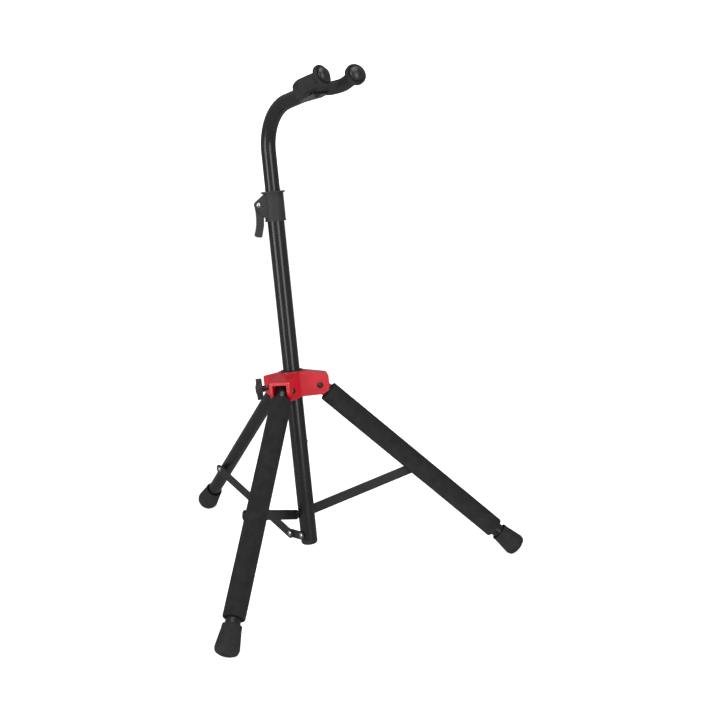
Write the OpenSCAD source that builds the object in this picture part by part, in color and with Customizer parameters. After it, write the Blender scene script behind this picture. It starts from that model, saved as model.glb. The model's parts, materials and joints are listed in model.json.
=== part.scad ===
// Hanging guitar stand: a folding tripod base with foam-sleeved front legs, a telescopic
// mast that leans back a little, and a padded yoke that takes the neck of the instrument.
// Millimetres. +Z is up, the front faces -Y, and the origin is on the floor at the middle
// of the outline of the whole stand.

/* [Mast] */
// Backward lean of the mast, degrees
mast_tilt = 8.65; // [6:0.05:11]
// Outer diameter of the lower tube
lower_tube_d = 28.6; // [27:0.1:30]
// Outer diameter of the upper tube
upper_tube_d = 25.4; // [24:0.1:25.6]
// Lower tube above the leg pivots
lower_tube_up = 321; // [300:1:380]
// Lower tube below the leg pivots
lower_tube_down = 272; // [268:1:280]
// Height above the leg pivots where the upper tube starts to bend
bend_start = 399; // [390:1:440]
// Centreline radius of the bend
bend_r = 77; // [60:1:90]
// Angle of the bend, degrees
bend_angle = 82.3; // [70:0.1:88]
// Straight run from the bend to the crossbar of the yoke
neck_reach = 80.9; // [74:0.1:95]

/* [Base] */
// Radius of the leg pivots about the mast
pivot_r = 45; // [43:0.5:48]
// Heading of each front leg from straight ahead, degrees
front_az = 57.3; // [54:0.1:62]
// Angle between a front leg and the mast, degrees
front_splay = 44.1; // [40:0.1:48]
// Angle between the rear leg and the mast, degrees
rear_splay = 48.8; // [45:0.1:52]
// Front leg from its pivot to the rim of its foot
front_leg_len = 419.2; // [390:0.1:450]
// Outer diameter of the leg tubes
leg_tube_d = 24; // [22:0.1:24.6]
// Outer diameter of the foam sleeves
foam_d = 36; // [32:0.5:36]

/* [Braces] */
// Distance from the hub pivot to the brace pivot along a front leg
front_brace_at = 234; // [225:1:240]
// Front brace rivets on the mast below the leg pivots
front_brace_down = 228; // [220:1:232]
// Distance from the hub pivot to the brace pivot along the rear leg
rear_brace_at = 262; // [255:1:270]
// Rear lug pivot below the leg pivots
rear_lug_down = 262; // [258:0.5:263]
// Rear lug pivot from the axis of the mast
rear_lug_r = 30; // [28:0.5:34]
// Width of the flat braces
brace_w = 17; // [14:0.5:18]
// Thickness of the flat braces
brace_t = 2.5; // [2:0.1:3]

/* [Feet] */
// Largest diameter of a rubber foot
foot_d = 39; // [36:0.5:42]
// Length of a rubber foot
foot_len = 46; // [42:1:52]
// Radius round the bottom edge of a foot
foot_round = 9; // [6:0.5:11]

/* [Yoke] */
// Half of the straight crossbar between the prongs
bar_half = 21.5; // [20:0.5:27]
// Upward tilt of the yoke against the mast, degrees
yoke_rise = 11.4; // [4:0.1:16]
// Diameter of the padded prongs
pad_d = 21.8; // [19:0.1:24]
// How far the prongs lean toward each other, degrees
prong_toe = 12.9; // [4:0.1:16]
// Straight part of a prong
prong_len = 22.2; // [16:0.1:30]
// Upward curve at the end of a prong, degrees
prong_curl = 7.7; // [4:0.1:24]

/* [Hidden] */
$fn = 64;

LEFT = -1;
RIGHT = 1;
REAR = 0;

tube_wall = 1.2;
leg_wall = 1.5;
running = 0.06;
snug = 0.02;

lower_r = lower_tube_d / 2;
upper_r = upper_tube_d / 2;
leg_r = leg_tube_d / 2;
foam_r = foam_d / 2;

// Where the leg tubes start and stop along their own axes, from the hub pivot
leg_top = -4;
leg_in_foot = 34;
foam_top = 19.6;
foam_gap = 11;

// Hub casting
hub_half_w = 18.5;
hub_channel = 12.5;
hub_core_r = 23;
hub_low = -16.3;
hub_high = 27.5;
hub_reach = 61.3;
channel_roof = 14;
hub_bush_r = lower_r + 2.2;

// Braces sit beside their legs, clear of the foam
front_brace_off = foam_r + 0.5;
rear_brace_off = 17.7;
lug_gap = 0.3;
rivet_r = 3;
rivet_head_r = 4.9;
rivet_head_h = 2;

// Thumb knob and clamp lever point between the left leg and the rear leg
side_az = -120;
knob_at = 53;
knob_up = 2;
clamp_low = 284;
clamp_high = 331;
clamp_r = 17.3;
clamp_pin_r = 26.4;
clamp_pin_z = 313;
ear_gap = 5.7;
ear_t = 4;

// How far one unit along each leg moves down and forward in the world
front_down = cos(front_splay) * cos(mast_tilt) - sin(front_splay) * cos(front_az) * sin(mast_tilt);
front_fore = sin(front_splay) * cos(front_az) * cos(mast_tilt) + cos(front_splay) * sin(mast_tilt);
rear_down = cos(rear_splay) * cos(mast_tilt) + sin(rear_splay) * sin(mast_tilt);
rear_back = sin(rear_splay) * cos(mast_tilt) - cos(rear_splay) * sin(mast_tilt);
foot_core = foot_d / 2 - foot_round;
// Depth of rubber pressed flat where a foot stands on the floor
foot_flat = 0.8;

function side_of(along) = sqrt(1 - along * along);

// The front legs set the height of the hub, and the rear leg is cut to reach the same floor
front_tip = front_leg_len + foot_len - foot_round;
hub_z = front_tip * front_down + foot_core * side_of(front_down) + foot_round - foot_flat
    - pivot_r * cos(front_az) * sin(mast_tilt);
rear_tip = (hub_z - pivot_r * sin(mast_tilt) - foot_core * side_of(rear_down) - foot_round
    + foot_flat) / rear_down;
rear_leg_len = rear_tip - foot_len + foot_round;
front_edge = pivot_r * cos(front_az) * cos(mast_tilt) + front_tip * front_fore
    + foot_core * side_of(front_fore) + foot_round;
rear_edge = pivot_r * cos(mast_tilt) + rear_tip * rear_back
    + foot_core * side_of(rear_back) + foot_round;
hub_y = (front_edge - rear_edge) / 2;

// Outer brace pivots in the plane of their leg: distance out from the mast, and height
front_out = pivot_r + front_brace_at * sin(front_splay);
front_up = -front_brace_at * cos(front_splay);
rear_out = pivot_r + rear_brace_at * sin(rear_splay);
rear_up = -rear_brace_at * cos(rear_splay);

function leg_az(side) = side == REAR ? 180 : side * front_az;
function leg_splay(side) = side == REAR ? rear_splay : front_splay;
function leg_len(side) = side == REAR ? rear_leg_len : front_leg_len;
// The braces lie on the side of each front leg that faces back, and left of the rear leg
function brace_side(side) = side == LEFT ? -1 : 1;
function bolt_side(side) = side == RIGHT ? -1 : 1;
function brace_off(side) = side == REAR ? rear_brace_off : front_brace_off;
function brace_at(side) = side == REAR ? rear_brace_at : front_brace_at;
function brace_in(side) = side == REAR ? [rear_lug_r, -rear_lug_down] : [0, -front_brace_down];
function brace_out(side) = side == REAR ? [rear_out, rear_up] : [front_out, front_up];

// ---- Places -------------------------------------------------------------------------

// Frame of the mast: origin at the level of the leg pivots, Z up the tube
module mast() {
    translate([0, hub_y, hub_z]) rotate([-mast_tilt, 0, 0]) children();
}

// Upright plane of one leg: -Y points out along the leg, X across it
module leg_plane(side) {
    mast() rotate([0, 0, leg_az(side)]) children();
}

// Axis of one leg: origin at its hub pivot, -Z down the tube
module leg_axis(side) {
    leg_plane(side) translate([0, -pivot_r, 0]) rotate([-leg_splay(side), 0, 0]) children();
}

// A point of a leg plane, with Z turned to point across the leg on the braces' side
module across(side, out, up) {
    leg_plane(side) translate([0, -out, up]) rotate([0, brace_side(side) * 90, 0]) children();
}

// Plane between the left leg and the rear leg: X out from the mast, Z up
module side_plane() {
    mast() rotate([0, 0, side_az - 90]) children();
}

// Axis of the thumb knob, Z pointing out from the mast
module knob_axis() {
    side_plane() translate([0, 0, knob_up]) rotate([0, 90, 0]) children();
}

// Frame of the yoke: X along the crossbar, -Y along the prongs
module yoke_place() {
    mast()
        translate([0, -bend_r * (1 - cos(bend_angle)) - neck_reach * sin(bend_angle),
            bend_start + bend_r * sin(bend_angle) + neck_reach * cos(bend_angle)])
            rotate([-yoke_rise, 0, 0]) children();
}

// ---- Shapes that repeat -------------------------------------------------------------

// A pipe along Z from z0 up to z1
module pipe(r_out, r_in, z0, z1) {
    translate([0, 0, z0]) difference() {
        cylinder(r = r_out, h = z1 - z0);
        if (r_in > 0) translate([0, 0, -1]) cylinder(r = r_in, h = z1 - z0 + 2);
    }
}

// A low domed rivet head along Z, standing on z = 0
module dome_head(r, h) {
    ball = (r * r + h * h) / (2 * h);
    intersection() {
        cylinder(r = r, h = h);
        translate([0, 0, h - ball]) sphere(r = ball);
    }
}

// A quarter of a ring or less, lying flat: bent rod of radius r about Z
module bent_rod(ring_r, r, r_in, angle) {
    rotate_extrude(angle = angle, $fn = 96) translate([ring_r, 0]) difference() {
        circle(r = r);
        if (r_in > 0) circle(r = r_in);
    }
}

// ---- Mast ---------------------------------------------------------------------------

module lower_column() {
    color("#17181a") mast() difference() {
        pipe(lower_r, lower_r - tube_wall, -lower_tube_down, lower_tube_up);
        for (side = [LEFT, RIGHT]) rotate([0, 0, leg_az(side)])
            translate([0, 0, -front_brace_down]) rotate([0, brace_side(side) * 90, 0])
                translate([0, 0, lower_r - 4]) cylinder(r = rivet_r, h = 6);
        translate([0, 0, -rear_lug_down]) rotate([0, -90, 0]) cylinder(r = rivet_r, h = lower_r + 1);
        translate([0, 0, -97]) rotate([90, 0, 30]) cylinder(r = 2.5, h = lower_r + 1);
    }
}

module column_end_cap() {
    bore_r = lower_r - tube_wall - snug;
    color("#1b1b1c") mast() translate([0, 0, -lower_tube_down]) {
        pipe(bore_r, bore_r - 2, -0.5, 18);
        rotate_extrude() difference() {
            union() {
                translate([0, -3]) square([lower_r, 3 - snug]);
                translate([0, -8]) square([lower_r - 5, 6]);
                translate([lower_r - 5, -3]) circle(r = 5);
            }
            translate([-20, -20]) square([20, 40]);
            translate([lower_r - 12, -snug]) square([20, 10]);
        }
    }
}

module stop_rivet() {
    color("#303133") mast() translate([0, 0, -97]) rotate([90, 0, 30]) {
        translate([0, 0, lower_r - tube_wall - 1]) cylinder(r = 2.5 - snug, h = tube_wall + 1.2);
        translate([0, 0, lower_r + 0.1]) dome_head(3.9, 1.9);
    }
}

module brace_spacers() {
    color("#26272a") for (side = [LEFT, RIGHT]) across(side, 0, -front_brace_down) difference() {
        cylinder(r = 6, h = front_brace_off - lug_gap);
        translate([0, 0, -1]) cylinder(r = rivet_r, h = 60);
        rotate([0, 90, 0]) cylinder(r = lower_r + snug, h = 40, center = true);
    }
}

// Shouldered rivets that the inner ends of all three braces turn on
module brace_pivot_rivets() {
    color("#c2c4c6") for (side = [LEFT, RIGHT, REAR]) {
        shank_from = side == REAR ? lower_r - 1 : lower_r - tube_wall;
        across(side, brace_in(side)[0], brace_in(side)[1]) {
            translate([0, 0, shank_from])
                cylinder(r = rivet_r - running, h = brace_off(side) + brace_t + 0.2 - shank_from);
            translate([0, 0, brace_off(side) + brace_t + 0.15]) dome_head(rivet_head_r, rivet_head_h);
            if (side == REAR) translate([0, 0, lower_r + 0.05]) rotate([180, 0, 0]) dome_head(4.5, 1.6);
        }
    }
}

// Flat ear on the left of the mast that carries the rear brace
module rear_lug() {
    color("#1d1e20") across(REAR, 0, -rear_lug_down) difference() {
        translate([0, 0, lower_r + 0.1]) linear_extrude(height = rear_brace_off - lug_gap - lower_r - 0.1) {
            circle(r = 7.5);
            translate([0, -rear_lug_r]) circle(r = 7.5);
            translate([-7.5, -rear_lug_r]) square([15, rear_lug_r]);
        }
        translate([0, 0, -1]) cylinder(r = rivet_r, h = 60);
        translate([0, -rear_lug_r, -1]) cylinder(r = rivet_r, h = 60);
    }
}

module rear_lug_rivet() {
    color("#c2c4c6") across(REAR, 0, -rear_lug_down) {
        translate([0, 0, lower_r - tube_wall])
            cylinder(r = rivet_r - snug, h = rear_brace_off - lug_gap - lower_r + tube_wall);
        translate([0, 0, rear_brace_off - lug_gap]) dome_head(rivet_head_r, rivet_head_h);
    }
}

// ---- Height clamp -------------------------------------------------------------------

module clamp_collar() {
    color("#2a2b2d") difference() {
        union() {
            mast() {
                translate([0, 0, clamp_low]) cylinder(r = clamp_r, h = clamp_high - clamp_low);
                translate([0, 0, clamp_low]) cylinder(r1 = clamp_r + 0.9, r2 = clamp_r, h = 3);
                translate([0, 0, clamp_high]) cylinder(r = 20, h = 3);
            }
            side_plane() for (y = [-ear_gap - ear_t, ear_gap])
                translate([0, y + ear_t, 0]) rotate([90, 0, 0]) linear_extrude(height = ear_t) {
                    polygon([[10, 290], [17, 290], [31.5, 308], [31.5, 318], [17, 329], [10, 329]]);
                    translate([clamp_pin_r, clamp_pin_z]) circle(r = 7);
                }
        }
        mast() {
            translate([0, 0, clamp_low - 1]) cylinder(r = lower_r + snug, h = lower_tube_up - clamp_low + 1.5);
            translate([0, 0, clamp_low]) cylinder(r = upper_r + running, h = 90);
        }
        side_plane() {
            translate([10, -1, clamp_low - 1]) cube([12, 2, clamp_high - clamp_low + 6]);
            translate([clamp_pin_r, 0, clamp_pin_z]) rotate([90, 0, 0])
                cylinder(r = 2.5 + running, h = 40, center = true);
        }
    }
}

module clamp_pin() {
    half = ear_gap + ear_t;
    color("#c9cbcd") side_plane() translate([clamp_pin_r, 0, clamp_pin_z]) {
        rotate([90, 0, 0]) cylinder(r = 2.5, h = 2 * half + 0.6, center = true);
        for (turn = [90, -90]) rotate([turn, 0, 0]) translate([0, 0, half + 0.05]) dome_head(4, 1.6);
    }
}

// Quick-release lever between the two ears, hanging down when it is locked
module clamp_lever() {
    color("#1c1d1f") side_plane() translate([0, ear_gap - 0.3, 0]) rotate([90, 0, 0])
        linear_extrude(height = 2 * (ear_gap - 0.3)) difference() {
            union() {
                translate([clamp_pin_r, clamp_pin_z]) circle(r = 6.8);
                polygon([[20.2, 311], [19.7, 300], [19.6, 290], [21, 278], [23.8, 267.5], [25.4, 261],
                    [27.6, 258.6], [35.5, 260.2], [38.2, 262.4], [37.6, 266], [35.4, 272],
                    [33.4, 281], [32.4, 291], [32.3, 302], [33.1, 311]]);
            }
            translate([clamp_pin_r, clamp_pin_z]) circle(r = 2.5 + running);
        }
}

// ---- Hub ----------------------------------------------------------------------------

// Side outline of one hub arm, out from the mast in X and up in Y
module arm_outline() {
    polygon([[0, hub_low], [pivot_r, hub_low], [hub_reach, 0], [hub_reach, 15], [60.3, 17],
        [58, 18.3], [14, hub_high], [0, hub_high]]);
    translate([pivot_r, 0]) circle(r = hub_reach - pivot_r);
}

// The channel that the top of the leg swings in
module arm_channel() {
    polygon([[27, -40], [90, -40], [90, channel_roof - 6], [27, channel_roof + 4]]);
}

module arm_slab(half_w) {
    rotate([0, 0, -90]) rotate([90, 0, 0])
        linear_extrude(height = 2 * half_w, center = true) children();
}

module leg_hub() {
    color("#c8141c") difference() {
        union() {
            mast() translate([0, 0, hub_low]) cylinder(r = hub_core_r, h = hub_high - hub_low);
            for (side = [LEFT, RIGHT, REAR]) leg_plane(side) arm_slab(hub_half_w) arm_outline();
            knob_axis() cylinder(r = 8, h = 31);
        }
        for (side = [LEFT, RIGHT, REAR]) leg_plane(side) {
            arm_slab(hub_channel) arm_channel();
            translate([0, -pivot_r, 0]) rotate([0, 90, 0])
                cylinder(r = 3 + running, h = 60, center = true);
        }
        mast() translate([0, 0, -40]) cylinder(r = hub_bush_r, h = 90);
        knob_axis() cylinder(r = 3 + running, h = 60);
    }
}

// Plastic liner that slides on the lower tube
module hub_bush() {
    color("#222326") difference() {
        mast() {
            pipe(hub_bush_r - snug, lower_r + running, hub_low, hub_high + 1.6);
            pipe(hub_bush_r + 2.2, lower_r + running, hub_high + snug, hub_high + 1.6);
        }
        knob_axis() cylinder(r = 3.2, h = 60);
    }
}

// Button-head bolts that the legs turn on, heads to the front
module pivot_bolts() {
    color("#3a3b3e") for (side = [LEFT, RIGHT, REAR])
        leg_plane(side) translate([0, -pivot_r, 0]) rotate([0, 90 * bolt_side(side), 0]) {
            translate([0, 0, -hub_half_w - 5]) cylinder(r = 3, h = 2 * hub_half_w + 6);
            translate([0, 0, hub_half_w + 0.02]) difference() {
                dome_head(5.4, 3.2);
                translate([0, 0, 1.4]) cylinder(r = 2, h = 4, $fn = 6);
            }
        }
}

module pivot_nuts() {
    color("#3a3b3e") for (side = [LEFT, RIGHT, REAR])
        leg_plane(side) translate([0, -pivot_r, 0]) rotate([0, -90 * bolt_side(side), 0])
            translate([0, 0, hub_half_w + 0.02]) difference() {
                intersection() {
                    cylinder(r = 5.7, h = 4.6, $fn = 6);
                    translate([0, 0, -5.2]) sphere(r = 10.6);
                }
                translate([0, 0, -1]) cylinder(r = 3.02, h = 8);
            }
}

// T-shaped thumb knob that locks the hub on the lower tube
module knob_handle() {
    half = 13.5;
    color("#1d1e20") knob_axis() translate([0, 0, knob_at]) difference() {
        union() {
            translate([0, 0, -6]) cylinder(r = 5.5, h = 7);
            cylinder(r = 10, h = 10.5);
            linear_extrude(height = 10) {
                translate([-half, -5]) square([2 * half, 10]);
                for (end = [-half, half]) translate([end, 0]) circle(r = 5);
            }
            translate([0, 0, 10.5]) cylinder(r1 = 8, r2 = 6.5, h = 1.2);
        }
        translate([0, 0, -7]) cylinder(r = 3, h = 13);
    }
}

module knob_stud() {
    color("#55575a") knob_axis()
        translate([0, 0, lower_r + 0.3]) cylinder(r = 3 - snug, h = knob_at + 5.5 - lower_r);
}

// ---- Legs ---------------------------------------------------------------------------

module leg_tube(side) {
    bottom = -leg_len(side) - leg_in_foot;
    color("#17181a") leg_axis(side) difference() {
        pipe(leg_r, leg_r - leg_wall, bottom, -leg_top);
        rotate([0, 90, 0]) cylinder(r = 3 + running, h = 60, center = true);
        translate([0, 0, -brace_at(side)]) rotate([0, brace_side(side) * 90, 0])
            cylinder(r = rivet_r, h = 40);
    }
}

module leg_plug(side) {
    plug_r = leg_r - leg_wall - snug;
    color("#141415") leg_axis(side) difference() {
        union() {
            translate([0, 0, -34]) cylinder(r = plug_r, h = 34.5 - leg_top);
            translate([0, 0, -leg_top + snug]) cylinder(r = leg_r - 0.5, h = 1.2);
        }
        rotate([0, 90, 0]) cylinder(r = 3 + running, h = 60, center = true);
    }
}

// Spacer that holds the brace clear of the leg, welded to the side of the tube
module brace_bush(side) {
    color("#26272a") leg_axis(side) translate([0, 0, -brace_at(side)])
        rotate([0, brace_side(side) * 90, 0]) difference() {
            cylinder(r = 6, h = brace_off(side) - lug_gap);
            translate([0, 0, -1]) cylinder(r = rivet_r, h = 60);
            rotate([0, 90, 0]) cylinder(r = leg_r + snug, h = 60, center = true);
        }
}

// Foam sleeve with one hole for the brace spacer
module foam_sleeve(side) {
    color("#202022") leg_axis(side) difference() {
        pipe(foam_r, leg_r + 0.05, -leg_len(side) + foam_gap, -foam_top);
        translate([0, 0, -brace_at(side)]) rotate([0, brace_side(side) * 90, 0])
            cylinder(r = 6.3, h = 40);
    }
}

// Rubber boot: tapered, open rim at the top, rounded at the bottom
module foot(side) {
    rim_r = foot_d / 2 - 4;
    color("#1f1f20") difference() {
        leg_axis(side) translate([0, 0, -leg_len(side)]) difference() {
            union() {
                translate([0, 0, foot_round - foot_len + 2])
                    cylinder(r1 = foot_d / 2, r2 = rim_r, h = foot_len - foot_round - 2);
                translate([0, 0, foot_round - foot_len]) {
                    cylinder(r = foot_d / 2, h = 2);
                    rotate_extrude() translate([foot_core, 0]) circle(r = foot_round);
                }
                translate([0, 0, -foot_len]) cylinder(r = foot_core, h = foot_round + 1);
            }
            translate([0, 0, -leg_in_foot - snug]) cylinder(r = leg_r + snug, h = 80);
            translate([0, 0, -5]) cylinder(r = leg_r + 1.6, h = 80);
        }
        translate([-400, -400, -20]) cube([800, 800, 20]);
    }
}

// ---- Braces -------------------------------------------------------------------------

module brace(side) {
    from = brace_in(side);
    span = brace_out(side) - from;
    rise = atan2(span[1], span[0]);
    color("#17181a") leg_plane(side) translate([0, -from[0], from[1]]) rotate([-rise, 0, 0])
        translate([brace_side(side) * (brace_off(side) + brace_t / 2), 0, 0]) rotate([0, 90, 0])
            linear_extrude(height = brace_t, center = true) difference() {
                union() {
                    circle(r = brace_w / 2);
                    translate([0, -norm(span)]) circle(r = brace_w / 2);
                    translate([-brace_w / 2, -norm(span)]) square([brace_w, norm(span)]);
                }
                circle(r = rivet_r);
                translate([0, -norm(span)]) circle(r = rivet_r);
            }
}

// Rivet at the outer end of a brace
module brace_rivet(side) {
    color("#c2c4c6") across(side, brace_out(side)[0], brace_out(side)[1])
        translate([0, 0, brace_off(side)]) {
            cylinder(r = rivet_r - snug, h = brace_t);
            translate([0, 0, brace_t]) dome_head(rivet_head_r, rivet_head_h);
        }
}

// ---- Upper tube and yoke ------------------------------------------------------------

upper_bottom = -86;
rod_r = 6;
corner_r = 20.4;
curl_r = 71;
tongue_w = 34;
tongue_t = 5;
taper_len = 26;

// Straight part of the upper tube past the bend: Z runs on toward the yoke
module past_bend() {
    mast()
        translate([0, -bend_r * (1 - cos(bend_angle)), bend_start + bend_r * sin(bend_angle)])
            rotate([bend_angle, 0, 0]) children();
}

module upper_tube() {
    round_end = neck_reach - 12 - taper_len;
    color("#17181a") difference() {
        union() {
            mast() {
                pipe(upper_r, upper_r - tube_wall, upper_bottom, bend_start);
                translate([0, -bend_r, bend_start]) rotate([90, 0, 90])
                    bent_rod(bend_r, upper_r, upper_r - tube_wall, bend_angle);
            }
            past_bend() pipe(upper_r - 0.2, upper_r - tube_wall + 0.2, -0.7, round_end);
            hull() {
                past_bend() translate([0, 0, round_end - 1])
                    cylinder(r = upper_r - 0.25, h = 1, $fn = 48);
                yoke_place() translate([0.03 - tongue_w / 2, 10.95, 0.03 - rod_r - tongue_t])
                    cube([tongue_w - 0.06, 0.4, tongue_t - 0.11]);
            }
            yoke_place() translate([0, 0, -rod_r - tongue_t])
                linear_extrude(height = tongue_t - 0.05) {
                    translate([-tongue_w / 2, -4]) square([tongue_w, 15.5]);
                    translate([4 - tongue_w / 2, -8]) square([tongue_w - 8, 8]);
                    for (x = [4 - tongue_w / 2, tongue_w / 2 - 4]) translate([x, -4]) circle(r = 4);
                }
        }
        yoke_place() translate([0, 0, -30]) cylinder(r = 3 + snug, h = 40);
    }
}

// Guide plug in the bottom of the upper tube
module upper_tube_plug() {
    color("#e3e1da") mast() translate([0, 0, upper_bottom]) {
        translate([0, 0, -1]) cylinder(r = upper_r - tube_wall - snug, h = 21);
        translate([0, 0, -5]) cylinder(r = lower_r - tube_wall - running, h = 5 - snug);
    }
}

// Root of the straight part of the right prong: -Y runs on along it
module prong_root() {
    translate([bar_half + corner_r * cos(prong_toe), -corner_r * (1 + sin(prong_toe)), 0])
        rotate([0, 0, -prong_toe]) children();
}

// Path of the yoke as a round rod: crossbar, two corners and two curled prongs
module yoke_rod(r) {
    slim = r - 0.03;
    rotate([0, 90, 0]) cylinder(r = r, h = 2 * bar_half, center = true);
    for (m = [0, 1]) mirror([m, 0, 0]) {
        translate([bar_half, -corner_r, 0]) rotate([180, 0, 90])
            bent_rod(corner_r, r, 0, 90 + prong_toe);
        prong_root() {
            translate([0, 0.5, 0]) rotate([90, 0, 0]) cylinder(r = slim, h = prong_len + 0.5);
            translate([0, -prong_len, curl_r]) rotate([0, 90, 180])
                bent_rod(curl_r, slim, 0, prong_curl);
        }
    }
}

// End of a prong: Z runs on along the prong
module prong_end(side) {
    mirror([side == LEFT ? 1 : 0, 0, 0]) prong_root()
        translate([0, -prong_len - curl_r * sin(prong_curl), curl_r * (1 - cos(prong_curl))])
            rotate([90 - prong_curl, 0, 0]) children();
}

module yoke_frame() {
    color("#101112") yoke_place() difference() {
        union() {
            yoke_rod(rod_r);
            for (side = [LEFT, RIGHT])
                prong_end(side) translate([0, 0, -1]) cylinder(r = rod_r - snug, h = 9);
        }
        translate([0, 0, -20]) cylinder(r = 3, h = 24);
    }
}

module yoke_bolt() {
    color("#55575a") yoke_place() {
        translate([0, 0, -rod_r - tongue_t - 0.3]) cylinder(r = 3 - snug, h = rod_r + tongue_t + 3);
        translate([0, 0, -rod_r - tongue_t - 0.05]) rotate([180, 0, 0]) dome_head(5.5, 2.8);
    }
}

// Soft sleeve over the rod, slotted underneath for the flattened end of the upper tube
module yoke_pad() {
    color("#232325") yoke_place() difference() {
        yoke_rod(pad_d / 2);
        yoke_rod(rod_r + snug);
        translate([-tongue_w / 2 - 0.4, -8.4, -20]) cube([tongue_w + 0.8, 40, 20 - rod_r + 0.3]);
        translate([0, 0, -20]) cylinder(r = 3.4, h = 20);
    }
}

// Flanged end cap with a domed face that keeps the neck from slipping off
module prong_cap(side) {
    color("#1d1d1f") yoke_place() prong_end(side) rotate_extrude() difference() {
        union() {
            polygon([[0, 0.1], [13, 0.1], [17.3, 3.6], [17.3, 9], [16.2, 10.2], [0, 10.2]]);
            translate([0, 4.8]) circle(r = 13.4);
        }
        translate([-40, -40]) square([40, 80]);
        translate([0, -40]) square([40, 40.1]);
        translate([0, -1]) square([rod_r + snug, 9.2]);
    }
}

module leg_left() { leg_tube(LEFT); }
module leg_right() { leg_tube(RIGHT); }
module leg_rear() { leg_tube(REAR); }
module leg_plug_left() { leg_plug(LEFT); }
module leg_plug_right() { leg_plug(RIGHT); }
module leg_plug_rear() { leg_plug(REAR); }
module foam_left() { foam_sleeve(LEFT); }
module foam_right() { foam_sleeve(RIGHT); }
module foot_left() { foot(LEFT); }
module foot_right() { foot(RIGHT); }
module foot_rear() { foot(REAR); }
module brace_left() { brace(LEFT); }
module brace_right() { brace(RIGHT); }
module brace_rear() { brace(REAR); }
module brace_bush_left() { brace_bush(LEFT); }
module brace_bush_right() { brace_bush(RIGHT); }
module brace_bush_rear() { brace_bush(REAR); }
module brace_rivet_left() { brace_rivet(LEFT); }
module brace_rivet_right() { brace_rivet(RIGHT); }
module brace_rivet_rear() { brace_rivet(REAR); }
module prong_cap_left() { prong_cap(LEFT); }
module prong_cap_right() { prong_cap(RIGHT); }

lower_column();
column_end_cap();
stop_rivet();
brace_spacers();
brace_pivot_rivets();
rear_lug();
rear_lug_rivet();
clamp_collar();
clamp_pin();
clamp_lever();
leg_hub();
hub_bush();
pivot_bolts();
pivot_nuts();
knob_handle();
knob_stud();
leg_left();
leg_right();
leg_rear();
leg_plug_left();
leg_plug_right();
leg_plug_rear();
foam_left();
foam_right();
foot_left();
foot_right();
foot_rear();
brace_left();
brace_right();
brace_rear();
brace_bush_left();
brace_bush_right();
brace_bush_rear();
brace_rivet_left();
brace_rivet_right();
brace_rivet_rear();
upper_tube();
upper_tube_plug();
yoke_frame();
yoke_bolt();
yoke_pad();
prong_cap_left();
prong_cap_right();
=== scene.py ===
import json
import math

import bmesh
import bpy
from mathutils import Matrix, Vector, noise


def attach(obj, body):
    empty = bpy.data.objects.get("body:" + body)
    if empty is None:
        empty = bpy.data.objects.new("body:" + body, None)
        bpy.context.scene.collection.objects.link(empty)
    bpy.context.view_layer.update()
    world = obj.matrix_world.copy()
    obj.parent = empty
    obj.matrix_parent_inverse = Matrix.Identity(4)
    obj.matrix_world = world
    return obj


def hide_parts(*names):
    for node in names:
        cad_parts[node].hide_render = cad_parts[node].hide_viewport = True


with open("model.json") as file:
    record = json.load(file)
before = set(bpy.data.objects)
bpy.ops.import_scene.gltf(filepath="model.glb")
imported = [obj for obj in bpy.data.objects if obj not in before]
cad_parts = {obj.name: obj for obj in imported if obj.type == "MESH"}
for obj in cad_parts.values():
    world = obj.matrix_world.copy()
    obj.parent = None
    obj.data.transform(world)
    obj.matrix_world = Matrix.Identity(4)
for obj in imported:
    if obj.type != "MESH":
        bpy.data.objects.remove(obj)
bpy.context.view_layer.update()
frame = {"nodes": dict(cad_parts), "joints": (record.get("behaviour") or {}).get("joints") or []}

nodes = frame["nodes"]
joints = {j["name"]: j for j in frame["joints"]}

# ---- Geometry shared with the CAD part, metres ---------------------------------------

UP = Vector(joints["fold"]["axis"]).normalized()
SIDES = ("left", "right", "rear")
SPLAY = {"left": 44.1, "right": 44.1, "rear": 48.8}
FOOT_AT = {"left": 0.4192, "right": 0.4192, "rear": 0.34089}
YOKE_PITCH = 20.05
YOKE_CENTRE = Vector((0, -0.0941133, 0.8132818))


def leg_frame(side):
    """Origin on the hub pivot, +Z up the leg tube, +X across it."""
    joint = joints[f"leg_{side}_fold"]
    across = Vector(joint["axis"]).normalized()
    outward = across.cross(UP)
    angle = math.radians(SPLAY[side])
    along = -math.cos(angle) * UP + math.sin(angle) * outward
    up = -along
    depth = up.cross(across)
    rows = Matrix((across, depth, up)).transposed().to_4x4()
    return Matrix.Translation(Vector(joint["pos_m"])) @ rows


YOKE_FRAME = (Matrix.Translation(YOKE_CENTRE)
              @ Matrix.Rotation(math.radians(-YOKE_PITCH), 4, "X"))

# ---- Node materials ------------------------------------------------------------------


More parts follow.
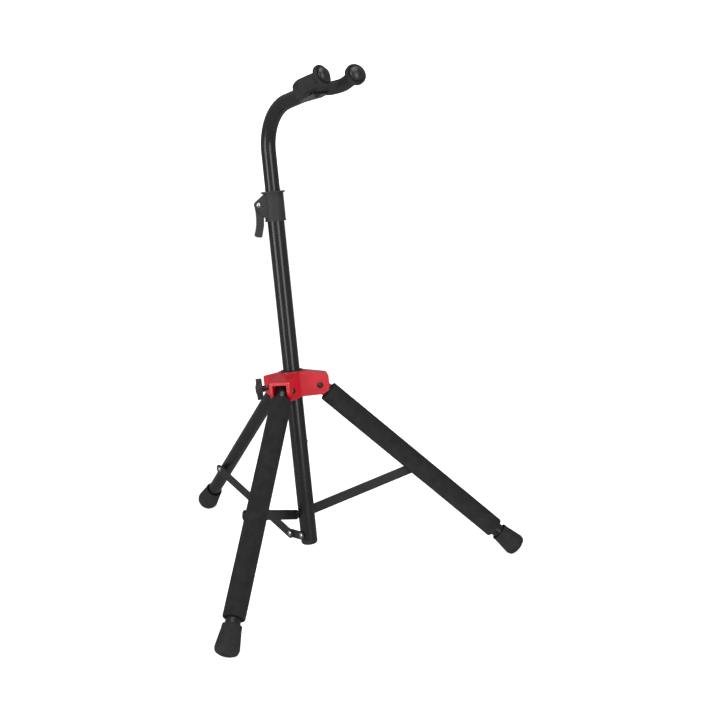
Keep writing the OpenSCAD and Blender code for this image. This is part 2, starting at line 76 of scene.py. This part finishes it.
class Look:
    """A procedural surface: mottled colour, grain, uneven gloss, bump and worn edges."""

    def __init__(self, name):
        self.material = bpy.data.materials.new(name)
        self.material.use_nodes = True
        self.tree = self.material.node_tree
        self.tree.nodes.clear()
        self.output = self.add("ShaderNodeOutputMaterial")
        self.shader = self.add("ShaderNodeBsdfPrincipled")
        self.link(self.shader, "BSDF", self.output, "Surface")
        self.place = self.add("ShaderNodeTexCoord")

    def add(self, kind, **values):
        node = self.tree.nodes.new(kind)
        for key, value in values.items():
            setattr(node, key, value)
        return node

    def link(self, a, out, b, to):
        self.tree.links.new(a.outputs[out], b.inputs[to])

    def noise(self, scale, detail=3.0, rough=0.55):
        node = self.add("ShaderNodeTexNoise")
        node.inputs["Scale"].default_value = scale
        node.inputs["Detail"].default_value = detail
        node.inputs["Roughness"].default_value = rough
        self.link(self.place, "Object", node, "Vector")
        return node

    def cells(self, scale):
        node = self.add("ShaderNodeTexVoronoi")
        node.inputs["Scale"].default_value = scale
        self.link(self.place, "Object", node, "Vector")
        return node

    def span(self, source, out, low, high, to_low, to_high):
        node = self.add("ShaderNodeMapRange")
        for key, value in (("From Min", low), ("From Max", high),
                           ("To Min", to_low), ("To Max", to_high)):
            node.inputs[key].default_value = value
        self.link(source, out, node, "Value")
        return node

    def mix(self, factor, out, a, b):
        """Mix of two colours, each a tuple or a (node, output) pair."""
        node = self.tree.nodes.new("ShaderNodeMix")
        node.data_type = "RGBA"
        self.tree.links.new(factor.outputs[out], node.inputs[0])
        for value, socket in ((a, node.inputs[6]), (b, node.inputs[7])):
            if len(value) == 4:
                socket.default_value = value
            else:
                self.tree.links.new(value[0].outputs[value[1]], socket)
        return node

    def edges(self, radius, sharpest=0.12):
        """A mask that is bright on convex corners, broken up by noise."""
        bevel = self.add("ShaderNodeBevel")
        bevel.samples = 6
        bevel.inputs["Radius"].default_value = radius
        flat = self.add("ShaderNodeNewGeometry")
        dot = self.add("ShaderNodeVectorMath", operation="DOT_PRODUCT")
        self.link(bevel, "Normal", dot, 0)
        self.link(flat, "Normal", dot, 1)
        bent = self.span(dot, "Value", 1.0, 1.0 - sharpest, 0.0, 1.0)
        patchy = self.span(self.noise(140.0, 4.0, 0.65), "Fac", 0.42, 0.62, 0.0, 1.0)
        product = self.add("ShaderNodeMath", operation="MULTIPLY")
        self.link(bent, "Result", product, 0)
        self.link(patchy, "Result", product, 1)
        return product

    def bump(self, source, out, strength, distance, under=None):
        node = self.add("ShaderNodeBump")
        node.inputs["Strength"].default_value = strength
        node.inputs["Distance"].default_value = distance
        self.link(source, out, node, "Height")
        if under is not None:
            self.link(under, "Normal", node, "Normal")
        return node


BUMP_HEIGHT = 0.0004


def surface(name, dark, light, worn, rough, grain, grain_bump, metal=0.0, coat=0.0,
            specular=0.5, wear=0.0006, mottle=22.0, cell=None):
    """Colours are dark and light patches and worn edges; rough is a range; grain, mottle and
    cell[0] are noise scales; grain_bump and cell[1] are bump strengths; wear is a radius."""
    look = Look(name)
    clouds = look.noise(mottle, 4.0, 0.6)
    fine = look.noise(grain, 2.0, 0.5)
    spread = look.span(clouds, "Fac", 0.3, 0.7, 0.0, 1.0)
    base = look.mix(spread, "Result", (*dark, 1.0), (*light, 1.0))
    speck = look.span(fine, "Fac", 0.35, 0.7, 0.0, 0.35)
    base = look.mix(speck, "Result", (base, 2), (*light, 1.0))
    mask = look.edges(wear)
    base = look.mix(mask, "Value", (base, 2), (*worn, 1.0))
    look.link(base, 2, look.shader, "Base Color")
    shine = look.span(clouds, "Fac", 0.25, 0.75, rough[0], rough[1])
    look.link(shine, "Result", look.shader, "Roughness")
    look.shader.inputs["Metallic"].default_value = metal
    look.shader.inputs["Coat Weight"].default_value = coat
    look.shader.inputs["Coat Roughness"].default_value = 0.06
    look.shader.inputs["Specular IOR Level"].default_value = specular
    relief = look.bump(fine, "Fac", grain_bump, BUMP_HEIGHT)
    if cell:
        relief = look.bump(look.cells(cell[0]), "Distance", cell[1], BUMP_HEIGHT, relief)
    look.link(relief, "Normal", look.shader, "Normal")
    return look.material


TUBE_PAINT = surface("tube_paint", (0.0075, 0.0075, 0.008), (0.0125, 0.012, 0.0125),
                     (0.10, 0.10, 0.105), (0.20, 0.29), 900.0, 0.015, coat=0.12)
BAR_PAINT = surface("bar_paint", (0.010, 0.010, 0.011), (0.018, 0.0175, 0.018),
                    (0.16, 0.16, 0.165), (0.30, 0.42), 700.0, 0.05)
RED_PAINT = surface("red_paint", (0.46, 0.004, 0.012), (0.56, 0.008, 0.019),
                    (0.42, 0.07, 0.07), (0.26, 0.36), 420.0, 0.05, coat=0.15, wear=0.0009,
                    mottle=30.0)
FOAM = surface("foam", (0.014, 0.0135, 0.0135), (0.026, 0.025, 0.0245), (0.040, 0.039, 0.038),
               (0.86, 0.97), 1500.0, 0.35, specular=0.14, wear=0.0012, mottle=60.0,
               cell=(1900.0, 0.5))
RUBBER = surface("rubber", (0.014, 0.013, 0.013), (0.026, 0.0245, 0.0245), (0.050, 0.048, 0.047),
                 (0.62, 0.80), 1100.0, 0.30, specular=0.22, wear=0.0010, mottle=80.0,
                 cell=(1200.0, 0.25))
PAD_SKIN = surface("pad_skin", (0.014, 0.0135, 0.014), (0.027, 0.026, 0.0265),
                   (0.042, 0.040, 0.040), (0.60, 0.76), 1300.0, 0.25, specular=0.22,
                   wear=0.0008, mottle=70.0, cell=(1500.0, 0.2))
PLASTIC = surface("textured_plastic", (0.020, 0.0195, 0.0195), (0.033, 0.032, 0.032),
                  (0.070, 0.069, 0.069), (0.46, 0.60), 1400.0, 0.22, specular=0.32,
                  wear=0.0005, mottle=50.0, cell=(1700.0, 0.22))
GLOSS_PLASTIC = surface("gloss_plastic", (0.010, 0.010, 0.011), (0.017, 0.0168, 0.0175),
                        (0.06, 0.06, 0.062), (0.27, 0.36), 600.0, 0.02, coat=0.1,
                        wear=0.0004, mottle=40.0)
PALE_PLASTIC = surface("pale_plastic", (0.60, 0.59, 0.54), (0.72, 0.71, 0.66),
                       (0.80, 0.79, 0.75), (0.40, 0.55), 800.0, 0.08, mottle=45.0)
RIVET_STEEL = surface("rivet_steel", (0.52, 0.52, 0.53), (0.66, 0.66, 0.665),
                      (0.80, 0.80, 0.80), (0.22, 0.38), 1600.0, 0.10, metal=1.0,
                      wear=0.0004, mottle=160.0)
DARK_STEEL = surface("dark_steel", (0.040, 0.040, 0.043), (0.075, 0.075, 0.080),
                     (0.30, 0.30, 0.31), (0.26, 0.40), 1200.0, 0.10, metal=0.85,
                     wear=0.0004, mottle=120.0)

# ---- Mesh helpers --------------------------------------------------------------------

AROUND = 96  # segments of every turned piece


def rounded(points, steps=5):
    """Profile points (r, z, radius): each corner with a radius becomes an arc."""
    out = []
    for i, (x, y, radius) in enumerate(points):
        here = Vector((x, y))
        if radius <= 0 or i in (0, len(points) - 1):
            out.append(here)
            continue
        a = (Vector(points[i - 1][:2]) - here)
        b = (Vector(points[i + 1][:2]) - here)
        half = a.angle(b) / 2
        cut = min(radius / math.tan(half), a.length * 0.49, b.length * 0.49)
        start, end = here + a.normalized() * cut, here + b.normalized() * cut
        for k in range(steps + 1):
            t = k / steps
            out.append((1 - t) ** 2 * start + 2 * t * (1 - t) * here + t ** 2 * end)
    return out


def make(name, bm, material, body, place):
    """A smooth-shaded piece from a bmesh, moved to its place and riding on a body."""
    mesh = bpy.data.meshes.new(name)
    bmesh.ops.recalc_face_normals(bm, faces=bm.faces)
    bm.to_mesh(mesh)
    bm.free()
    mesh.transform(place)
    for face in mesh.polygons:
        face.use_smooth = True
    mesh.materials.append(material)
    obj = bpy.data.objects.new(name, mesh)
    bpy.context.scene.collection.objects.link(obj)
    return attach(obj, body)


def lathe(profile, shape=None):
    """Closed surface of revolution about Z from a profile that starts and ends on the axis
    or meets itself. shape(angle, r, z) may return a changed (r, z)."""
    bm = bmesh.new()
    rings = []
    for point in profile:
        r, z = point[0], point[1]
        if r < 1e-7:
            rings.append([bm.verts.new((0, 0, z))])
            continue
        ring = []
        for k in range(AROUND):
            angle = 2 * math.pi * k / AROUND
            rr, zz = shape(angle, r, z) if shape else (r, z)
            ring.append(bm.verts.new((rr * math.cos(angle), rr * math.sin(angle), zz)))
        rings.append(ring)
    closed = len(rings[0]) > 1 and len(rings[-1]) > 1
    pairs = list(zip(rings, rings[1:])) + ([(rings[-1], rings[0])] if closed else [])
    for low, high in pairs:
        for k in range(AROUND):
            n = (k + 1) % AROUND
            if len(low) == 1 and len(high) == 1:
                continue
            if len(low) == 1:
                bm.faces.new((low[0], high[n], high[k]))
            elif len(high) == 1:
                bm.faces.new((low[k], low[n], high[0]))
            else:
                bm.faces.new((low[k], low[n], high[n], high[k]))
    return bm


def finish_edges(obj, width):
    """Rounds the corners of a CAD node without touching its mesh."""
    weld = obj.modifiers.new("weld", "WELD")
    weld.merge_threshold = 0.000005
    flat = obj.modifiers.new("flat", "DECIMATE")
    flat.decimate_type = "DISSOLVE"
    flat.angle_limit = math.radians(0.5)
    bevel = obj.modifiers.new("bevel", "BEVEL")
    bevel.width = width
    bevel.segments = 2
    bevel.limit_method = "ANGLE"
    bevel.angle_limit = math.radians(35.0)
    bevel.harden_normals = True
    smooth = obj.modifiers.new("normals", "WEIGHTED_NORMAL")
    smooth.keep_sharp = True


def paint(names, material, width=None):
    for name in names:
        obj = nodes[name]
        obj.data.materials.clear()
        obj.data.materials.append(material)
        if width:
            finish_edges(obj, width)


# ---- Carried-over CAD nodes ----------------------------------------------------------

paint(["lower_column", "upper_tube", "leg_left", "leg_right", "leg_rear"], TUBE_PAINT)
paint(["brace_left", "brace_right", "brace_rear", "rear_lug"], BAR_PAINT, 0.0006)
paint(["brace_spacers", "brace_bush_left", "brace_bush_right", "brace_bush_rear"], BAR_PAINT)
paint(["leg_hub"], RED_PAINT, 0.0012)
paint(["clamp_collar"], PLASTIC, 0.0005)
paint(["clamp_lever"], PLASTIC, 0.0012)
paint(["knob_handle"], PLASTIC, 0.0010)
paint(["column_end_cap"], RUBBER)
paint(["hub_bush", "leg_plug_left", "leg_plug_right", "leg_plug_rear"], PLASTIC)
paint(["upper_tube_plug"], PALE_PLASTIC)
paint(["brace_pivot_rivets", "rear_lug_rivet", "clamp_pin",
       "brace_rivet_left", "brace_rivet_right", "brace_rivet_rear"], RIVET_STEEL)
paint(["stop_rivet", "pivot_bolts", "pivot_nuts", "knob_stud", "yoke_bolt"], DARK_STEEL)
paint(["yoke_frame"], TUBE_PAINT)

# ---- Foam sleeves --------------------------------------------------------------------

FOAM_BORE = 0.01206
FOAM_R = 0.0179
FOAM_ROUND = 0.0022
FOAM_STEPS = 150
FOAM_SEED = {"left": 3.0, "right": 9.0}


def foam_sleeve(side):
    """Foam tube with rounded ends and a slightly uneven skin."""
    low, high = -FOOT_AT[side] + 0.011, -0.0196
    profile = [(FOAM_BORE, low, 0), (FOAM_R, low, FOAM_ROUND)]
    for k in range(1, FOAM_STEPS):
        z = low + (high - low) * k / FOAM_STEPS
        if low + 0.004 <= z <= high - 0.004:
            profile.append((FOAM_R, z, 0))
    profile += [(FOAM_R, high, FOAM_ROUND), (FOAM_BORE, high, 0), (FOAM_BORE, high - 0.002, 0)]

    def uneven(angle, r, z):
        if r < FOAM_R * 0.8:
            return r, z
        around, along = 1.1, 28.0
        sample = Vector((math.cos(angle) * around, math.sin(angle) * around,
                         z * along + FOAM_SEED[side]))
        return r + 0.00012 * noise.noise(sample) - 0.00006, z

    obj = make(f"foam_sleeve_{side}", lathe(rounded(profile), uneven), FOAM,
               f"leg_{side}", leg_frame(side))
    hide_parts(f"foam_{side}")


for leg in ("left", "right"):
    foam_sleeve(leg)

# ---- Rubber feet ---------------------------------------------------------------------


def rubber_foot(side):
    """Tapered boot with a rolled rim, a shallow waist line and a rounded tread end."""
    points = [
        (0.0, -0.0340, 0), (0.01203, -0.0340, 0), (0.01203, -0.0050, 0.0006),
        (0.01362, -0.0050, 0.0006), (0.01372, 0.0, 0.0008), (0.01560, 0.0, 0.0011),
        (0.01600, -0.0040, 0.0010), (0.01575, -0.0052, 0.0008), (0.01920, -0.0335, 0.0020),
        (0.01950, -0.0372, 0.0030), (0.0178, -0.0430, 0.0035), (0.0120, -0.0459, 0.0040),
        (0.0060, -0.0460, 0.0010), (0.0052, -0.0448, 0.0006), (0.0, -0.0448, 0),
    ]
    obj = make(f"rubber_foot_{side}", lathe(rounded(points, 6)), RUBBER, f"leg_{side}",
               leg_frame(side) @ Matrix.Translation((0, 0, -FOOT_AT[side])))
    for vertex in obj.data.vertices:  # the rubber is pressed flat on the floor
        vertex.co.z = max(vertex.co.z, 0.0)
    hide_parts(f"foot_{side}")


for leg in SIDES:
    rubber_foot(leg)

# ---- Yoke ----------------------------------------------------------------------------

BAR_HALF = 0.0215
CORNER_R = 0.0204
TOE = math.radians(12.9)
PRONG_LEN = 0.0222
CURL_R = 0.071
CURL = math.radians(7.7)
PAD_R = 0.01085
PAD_SIDES = 64
PAD_END_TAPER = (0.82, 0.93, 0.985)
PAD_CREASE_AT = 0.040
PAD_CREASE_SPREAD = 0.014
PAD_CREASE_PITCH = 0.0042
TONGUE_HALF = 0.0174
TONGUE_TOP = -0.0058
ALONG = Vector((-math.sin(TOE), -math.cos(TOE), 0))
ROOT = Vector((BAR_HALF + CORNER_R * math.cos(TOE), -CORNER_R * (1 + math.sin(TOE)), 0))
UPWARD = Vector((0, 0, 1))


def yoke_path(step=0.0012):
    """Centreline of the yoke from one prong to the other as (point, tangent, distance)."""
    half = []
    corner = CORNER_R * (math.pi / 2 + TOE)
    total = BAR_HALF + corner + PRONG_LEN + CURL_R * CURL
    count = round(total / step)
    for k in range(count + 1):
        s = total * k / count
        if s <= BAR_HALF:
            half.append((Vector((s, 0, 0)), Vector((1, 0, 0)), s))
        elif s <= BAR_HALF + corner:
            a = (s - BAR_HALF) / CORNER_R
            half.append((Vector((BAR_HALF + CORNER_R * math.sin(a),
                                 -CORNER_R * (1 - math.cos(a)), 0)),
                         Vector((math.cos(a), -math.sin(a), 0)), s))
        elif s <= BAR_HALF + corner + PRONG_LEN:
            half.append((ROOT + ALONG * (s - BAR_HALF - corner), ALONG, s))
        else:
            a = (s - BAR_HALF - corner - PRONG_LEN) / CURL_R
            half.append((ROOT + ALONG * (PRONG_LEN + CURL_R * math.sin(a))
                         + UPWARD * CURL_R * (1 - math.cos(a)),
                         ALONG * math.cos(a) + UPWARD * math.sin(a), s))
    mirrored = [(Vector((-p.x, p.y, p.z)), Vector((t.x, -t.y, -t.z)), -s)
                for p, t, s in half[:0:-1]]
    return mirrored + half


def yoke_pad():
    """Soft sleeve over the rod, pinched a little on the inside of its two corners and cut
    flat underneath where the flattened tube end sits."""
    path = yoke_path()
    bm = bmesh.new()
    rings = []
    for i, (point, tangent, s) in enumerate(path):
        margin = min(i, len(path) - 1 - i)
        radius = PAD_R * (PAD_END_TAPER[margin] if margin < len(PAD_END_TAPER) else 1.0)
        side = Vector((-tangent.y, tangent.x, 0)).normalized()
        up = side.cross(tangent).normalized()
        if up.z < 0:
            up = -up
        bent = math.exp(-((abs(s) - PAD_CREASE_AT) / PAD_CREASE_SPREAD) ** 2)
        fold = 0.5 + 0.5 * math.cos(s * 2 * math.pi / PAD_CREASE_PITCH)
        ring = []
        for k in range(PAD_SIDES):
            a = 2 * math.pi * k / PAD_SIDES
            n = side * math.cos(a) + up * math.sin(a)
            bulge = 0.00010 * noise.noise((point + n * PAD_R) * 90.0)
            crease = 0.00035 * bent * max(0.0, -math.cos(a)) * fold
            v = point + n * (radius + bulge - crease)
            if abs(v.x) < TONGUE_HALF and v.z < TONGUE_TOP:
                v.z = TONGUE_TOP
            ring.append(bm.verts.new(v))
        rings.append(ring)
    for a, b in zip(rings, rings[1:]):
        for k in range(PAD_SIDES):
            n = (k + 1) % PAD_SIDES
            bm.faces.new((a[k], a[n], b[n], b[k]))
    bm.faces.new(rings[0])
    bm.faces.new(list(reversed(rings[-1])))
    obj = make("yoke_sleeve", bm, PAD_SKIN, "mast_top", YOKE_FRAME)
    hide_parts("yoke_pad")


yoke_pad()


def prong_cap(side, sign):
    """Soft flange with rounded rims, and a smooth glossy dome set in a groove."""
    end = ROOT + ALONG * (PRONG_LEN + CURL_R * math.sin(CURL))
    end = Vector((sign * end.x, end.y, CURL_R * (1 - math.cos(CURL))))
    place = (YOKE_FRAME @ Matrix.Translation(end) @ Matrix.Rotation(-sign * TOE, 4, "Z")
             @ Matrix.Rotation(math.pi / 2 - CURL, 4, "X"))
    flange = rounded([
        (0.0, 0.0006, 0), (0.0118, 0.0006, 0.0008), (0.0132, 0.0008, 0.0012),
        (0.0171, 0.0040, 0.0018), (0.0173, 0.0082, 0.0014), (0.0163, 0.0101, 0.0012),
        (0.0134, 0.0102, 0.0005), (0.0128, 0.0093, 0.0005), (0.0, 0.0093, 0)], 6)
    rim = make(f"cap_flange_{side}", lathe(flange), RUBBER, "mast_top", place)
    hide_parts(f"prong_cap_{side}")
    dome = [(0.0, 0.0088), (0.01235, 0.0088)]
    for k in range(0, 15):
        a = math.radians(4 + 86 * k / 14)
        dome.append((0.01245 * math.cos(a), 0.0106 + 0.0075 * math.sin(a)))
    dome[-1] = (0.0, dome[-1][1])
    bead = make(f"cap_dome_{side}", lathe(dome), GLOSS_PLASTIC, "mast_top", place)


prong_cap("left", -1)
prong_cap("right", 1)

# ---- Stage, light and camera ---------------------------------------------------------


def paper(name, colour, glow):
    """Matt pale paper that glows a little, so that it stays even."""
    look = Look(name)
    clouds = look.noise(3.0, 3.0)
    tone = look.mix(look.span(clouds, "Fac", 0.3, 0.7, 0.0, 1.0), "Result",
                    (*[c * 0.995 for c in colour], 1.0), (*colour, 1.0))
    look.link(tone, 2, look.shader, "Base Color")
    look.link(tone, 2, look.shader, "Emission Color")
    look.shader.inputs["Emission Strength"].default_value = glow
    look.shader.inputs["Roughness"].default_value = 0.95
    look.shader.inputs["Specular IOR Level"].default_value = 0.0
    return look.material


def stage_plane(name, size, place, material):
    bm = bmesh.new()
    bmesh.ops.create_grid(bm, x_segments=1, y_segments=1, size=size)
    mesh = bpy.data.meshes.new(name)
    bm.to_mesh(mesh)
    bm.free()
    mesh.materials.append(material)
    obj = bpy.data.objects.new(name, mesh)
    obj.matrix_world = place
    bpy.context.scene.collection.objects.link(obj)
    return obj


floor = stage_plane("floor", 9.0, Matrix.Translation((0, 0, -0.0001)),
                    paper("floor_paper", (0.92, 0.92, 0.92), 0.86))
floor.visible_glossy = False

world = bpy.data.worlds.new("studio")
world.use_nodes = True
background = world.node_tree.nodes["Background"]
background.inputs["Color"].default_value = (1.0, 1.0, 1.0, 1.0)
background.inputs["Strength"].default_value = 0.25
bpy.context.scene.world = world


def area(name, direction, distance, size, power, target):
    """A rectangular light at a distance from its target, facing it."""
    light = bpy.data.lights.new(name, "AREA")
    light.shape = "RECTANGLE"
    light.size, light.size_y = size
    light.energy = power
    obj = bpy.data.objects.new(name, light)
    obj.location = Vector(target) + Vector(direction).normalized() * distance
    back = (obj.location - Vector(target)).normalized()
    obj.rotation_euler = back.to_track_quat("Z", "Y").to_euler()
    bpy.context.scene.collection.objects.link(obj)


def heading(azimuth, elevation):
    """Unit vector toward a light or camera; azimuth 0 is straight in front."""
    a, e = math.radians(azimuth), math.radians(elevation)
    return (math.sin(a) * math.cos(e), -math.cos(a) * math.cos(e), math.sin(e))


AIM = (0.0, 0.0, 0.42)
area("softbox_left", heading(-86, 16), 2.6, (1.0, 2.4), 30, AIM)
area("softbox_right", heading(-10, 18), 2.6, (0.9, 2.4), 24, AIM)
area("overhead", heading(-39, 82), 2.4, (2.0, 2.0), 30, AIM)

AZIMUTH, ELEVATION = -39.276, 15.101
CAMERA_AT = (-1.2014, -1.6738, 0.9069)
cam = bpy.data.cameras.new("camera")
cam.sensor_width = 36.0
cam.lens = 61.68
cam.clip_start, cam.clip_end = 0.05, 60.0
camera = bpy.data.objects.new("camera", cam)
back = Vector(heading(AZIMUTH, ELEVATION))
right = Vector((math.cos(math.radians(AZIMUTH)), math.sin(math.radians(AZIMUTH)), 0.0))
top = back.cross(right)
basis = Matrix((right, top, back)).transposed().to_4x4()
backdrop = stage_plane("backdrop", 9.0, Matrix.Translation(-back * 5.0) @ basis,
                       paper("backdrop_paper", (1.0, 1.0, 1.0), 1.0))
backdrop.visible_glossy = False
backdrop.visible_diffuse = False
backdrop.visible_shadow = False
camera.matrix_world = Matrix.Translation(CAMERA_AT) @ basis
bpy.context.scene.collection.objects.link(camera)
bpy.context.scene.camera = camera
bpy.context.scene.view_settings.view_transform = "Standard"
